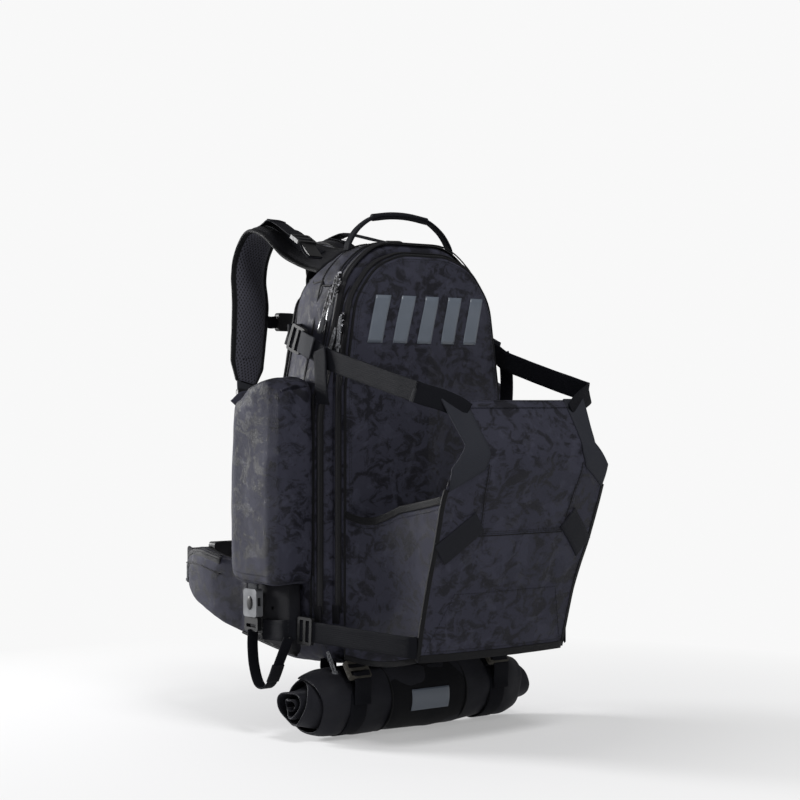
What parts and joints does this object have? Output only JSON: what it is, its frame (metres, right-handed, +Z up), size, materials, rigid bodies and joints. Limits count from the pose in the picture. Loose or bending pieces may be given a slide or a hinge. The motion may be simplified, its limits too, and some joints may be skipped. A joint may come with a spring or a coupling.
{
  "type": "tool backpack",
  "caption": "Trail-work backpack with a let-out front carrier flap, side pockets, shoulder harness with sternum strap, hip belt and a tool roll strapped below.",
  "frame": {"origin": "bottom centre of the whole object's box, on the surface that the tool roll stands on", "axes": "+Z up along the back, +Y towards the wearer, +X to the right as seen from the flap side"},
  "size_m": [0.39, 0.5364, 0.6437],
  "materials": {
    "camo_fabric": "matt jacquard weave, tone on tone",
    "plain_fabric": "plain coated weave",
    "padding": "foam under mesh and binding",
    "spacer_mesh": "spacer mesh",
    "webbing": "ribbed polyamide webbing",
    "black_plastic": "moulded, fine grain",
    "grey_plastic": "moulded, light grey",
    "olive_plastic": "moulded, olive grey",
    "zip_coil": "coil under coated tape",
    "zip_metal": "painted zinc",
    "pull_cord": "cord with a moulded grip",
    "frame_plastic": "polyethylene sheet",
    "stay_metal": "bare bar",
    "reflective_print": "grey reflective print"
  },
  "bodies": {
    "pack": {"main_compartment": "camo_fabric", "front_compartment": "camo_fabric", "inner_divider": "plain_fabric", "frame_sheet": "frame_plastic", "frame_stays": "stay_metal", "back_panel": "spacer_mesh", "back_pads": "padding", "lumbar_pad": "padding", "yoke": "plain_fabric", "main_zip_chain": "zip_coil", "front_zip_chain": "zip_coil", "flap_ladder_locks": "black_plastic", "flap_anchor_tabs": "webbing", "tool_roll": "plain_fabric", "roll_band": "plain_fabric", "roll_straps": "webbing", "roll_ladder_locks": "olive_plastic", "reflective_mark": "reflective_print", "belt_wings": "plain_fabric", "lower_side_panels": "plain_fabric", "strap_webbings": "webbing", "load_lifters": "webbing", "lifter_locks": "black_plastic", "gussets": "camo_fabric", "upper_straps": "webbing", "lower_straps": "webbing", "side_pocket_left": "camo_fabric", "side_pocket_right": "camo_fabric", "side_socket": "grey_plastic", "hanging_loop": "webbing", "main_high_slider": "zip_metal", "front_high_slider": "zip_metal"},
    "carrier_flap": {"carrier_flap": "camo_fabric", "flap_webbing": "webbing", "flap_tabs": "webbing"},
    "shoulder_strap_left": {"shoulder_strap_left": "padding", "strap_ladder_lock_left": "black_plastic", "sternum_webbing_left": "webbing", "sternum_socket": "black_plastic"},
    "shoulder_strap_right": {"shoulder_strap_right": "padding", "strap_ladder_lock_right": "black_plastic", "sternum_webbing_right": "webbing"},
    "sternum_plug": {"sternum_plug": "black_plastic"},
    "hip_fin_left": {"hip_fin_left": "padding", "hip_webbing_left": "webbing", "hip_belt_socket": "black_plastic"},
    "hip_fin_right": {"hip_fin_right": "padding", "hip_webbing_right": "webbing", "hip_belt_plug": "black_plastic"},
    "hip_zip_pull_left": {"hip_zip_pull_left": "pull_cord"},
    "hip_zip_pull_right": {"hip_zip_pull_right": "pull_cord"},
    "haul_loop": {"haul_loop": "webbing"},
    "main_low_slider": {"main_low_slider": "zip_metal"},
    "main_low_pull": {"main_low_pull": "pull_cord"},
    "main_high_pull": {"main_high_pull": "pull_cord"},
    "front_low_slider": {"front_low_slider": "zip_metal"},
    "front_low_pull": {"front_low_pull": "pull_cord"},
    "front_high_pull": {"front_high_pull": "pull_cord"},
    "side_plug": {"side_plug": "grey_plastic"}
  },
  "joints": [
    {"name": "carrier_flap_slide", "type": "slide", "parent": "pack", "child": "carrier_flap", "axis": [0, 1, 0], "range_m": [0, 0.085], "deforming": ["gussets", "upper_straps", "lower_straps"]},
    {"name": "shoulder_strap_left_swing", "type": "hinge", "parent": "pack", "child": "shoulder_strap_left", "pos_m": [0, 0.11019, 0.588], "axis": [1, 0, 0], "range_deg": [-8, 25], "deforming": ["load_lifters", "strap_webbings"]},
    {"name": "shoulder_strap_right_swing", "type": "hinge", "parent": "pack", "child": "shoulder_strap_right", "pos_m": [0, 0.11019, 0.588], "axis": [1, 0, 0], "range_deg": [-8, 25], "deforming": ["load_lifters", "strap_webbings"]},
    {"name": "sternum_release", "type": "slide", "parent": "shoulder_strap_right", "child": "sternum_plug", "axis": [1, 0, 0], "range_m": [0, 0.02], "deforming": ["sternum_webbing_right"]},
    {"name": "hip_fin_left_swing", "type": "hinge", "parent": "pack", "child": "hip_fin_left", "pos_m": [-0.146, 0.10519, 0.163], "axis": [0, 0, 1], "range_deg": [-14, 30]},
    {"name": "hip_fin_right_swing", "type": "hinge", "parent": "pack", "child": "hip_fin_right", "pos_m": [0.146, 0.10519, 0.163], "axis": [0, 0, -1], "range_deg": [-14, 30]},
    {"name": "hip_zip_pull_left_lift", "type": "hinge", "parent": "hip_fin_left", "child": "hip_zip_pull_left", "pos_m": [-0.157, 0.21219, 0.194], "axis": [0, 1, 0], "range_deg": [0, 90]},
    {"name": "hip_zip_pull_right_lift", "type": "hinge", "parent": "hip_fin_right", "child": "hip_zip_pull_right", "pos_m": [0.157, 0.21219, 0.194], "axis": [0, -1, 0], "range_deg": [0, 90]},
    {"name": "haul_loop_swing", "type": "hinge", "parent": "pack", "child": "haul_loop", "pos_m": [0, -0.02581, 0.592], "axis": [1, 0, 0], "range_deg": [-50, 50]},
    {"name": "main_zip_open", "type": "slide", "parent": "pack", "child": "main_low_slider", "axis": [-0.2072, 0, -0.9783], "range_m": [0, 0.115]},
    {"name": "main_low_pull_lift", "type": "hinge", "parent": "main_low_slider", "child": "main_low_pull", "pos_m": [-0.11922, -0.04161, 0.54095], "axis": [0, 1, 0], "range_deg": [0, 100]},
    {"name": "main_high_pull_lift", "type": "hinge", "parent": "pack", "child": "main_high_pull", "pos_m": [-0.11604, -0.04801, 0.55595], "axis": [0, 1, 0], "range_deg": [0, 100]},
    {"name": "front_zip_open", "type": "slide", "parent": "pack", "child": "front_low_slider", "axis": [-0.1439, 0, -0.9896], "range_m": [0, 0.09]},
    {"name": "front_low_pull_lift", "type": "hinge", "parent": "front_low_slider", "child": "front_low_pull", "pos_m": [-0.12583, -0.05711, 0.49135], "axis": [0, 1, 0], "range_deg": [0, 100]},
    {"name": "front_high_pull_lift", "type": "hinge", "parent": "pack", "child": "front_high_pull", "pos_m": [-0.12379, -0.06351, 0.50535], "axis": [0, 1, 0], "range_deg": [0, 100]},
    {"name": "side_buckle_release", "type": "slide", "parent": "pack", "child": "side_plug", "axis": [0, 0, -1], "range_m": [0, 0.022], "deforming": ["hanging_loop"]}
  ],
  "couplings": [
    {"joint": "shoulder_strap_right_swing", "follows": "shoulder_strap_left_swing", "ratio": 1}
  ]
}
